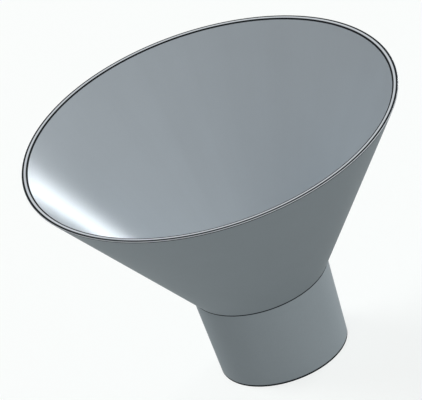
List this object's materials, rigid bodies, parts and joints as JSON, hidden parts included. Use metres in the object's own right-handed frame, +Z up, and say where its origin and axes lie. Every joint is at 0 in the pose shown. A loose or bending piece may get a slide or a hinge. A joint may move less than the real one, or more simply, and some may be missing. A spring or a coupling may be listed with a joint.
{
  "type": "feed hopper",
  "caption": "Open conical feed hopper: a wide round mouth runs down a thin-walled cone into a short tapered outlet spout that drops the feed into a machine.",
  "frame": {"origin": "centre of the spout's foot face, the lowest face, on which the hopper stands", "axes": "+Z up the hopper's own axis, out of the wide mouth; +X and +Y are any two square radii, because the form is round"},
  "size_m": [0.2986, 0.2984, 0.206],
  "materials": {
    "cast_aluminium": "satin"
  },
  "bodies": {
    "root": {"hopper_body": "cast_aluminium"}
  },
  "joints": []
}
